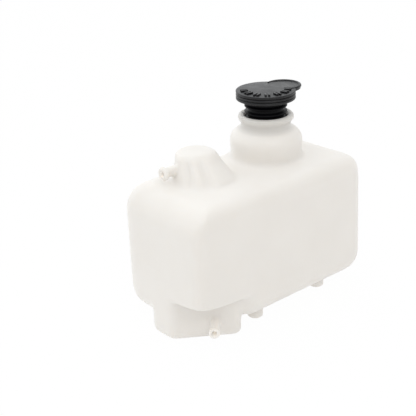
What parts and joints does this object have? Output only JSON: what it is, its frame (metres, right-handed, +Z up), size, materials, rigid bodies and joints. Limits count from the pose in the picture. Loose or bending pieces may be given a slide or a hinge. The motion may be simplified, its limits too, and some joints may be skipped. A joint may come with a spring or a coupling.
{
  "type": "coolant expansion tank",
  "caption": "Blow-moulded translucent coolant expansion tank with a lower sump, a vent hump, hose nipples and a push-in filler plug.",
  "frame": {"origin": "middle of the body's footprint, on the plane that the sump and the feet stand on", "axes": "+Z up along the filler neck, X along the body's length with the sump at -X, Y across it"},
  "size_m": [0.164, 0.085, 0.1472],
  "materials": {
    "milky_polyethylene": "satin, translucent",
    "black_rubber": "satin moulded"
  },
  "bodies": {
    "bottle": {"tank": "milky_polyethylene"},
    "stopper": {"plug": "black_rubber"}
  },
  "joints": [
    {"name": "plug_pull", "type": "slide", "parent": "bottle", "child": "stopper", "axis": [0, 0, 1], "range_m": [-0.0103, 0.04]}
  ]
}
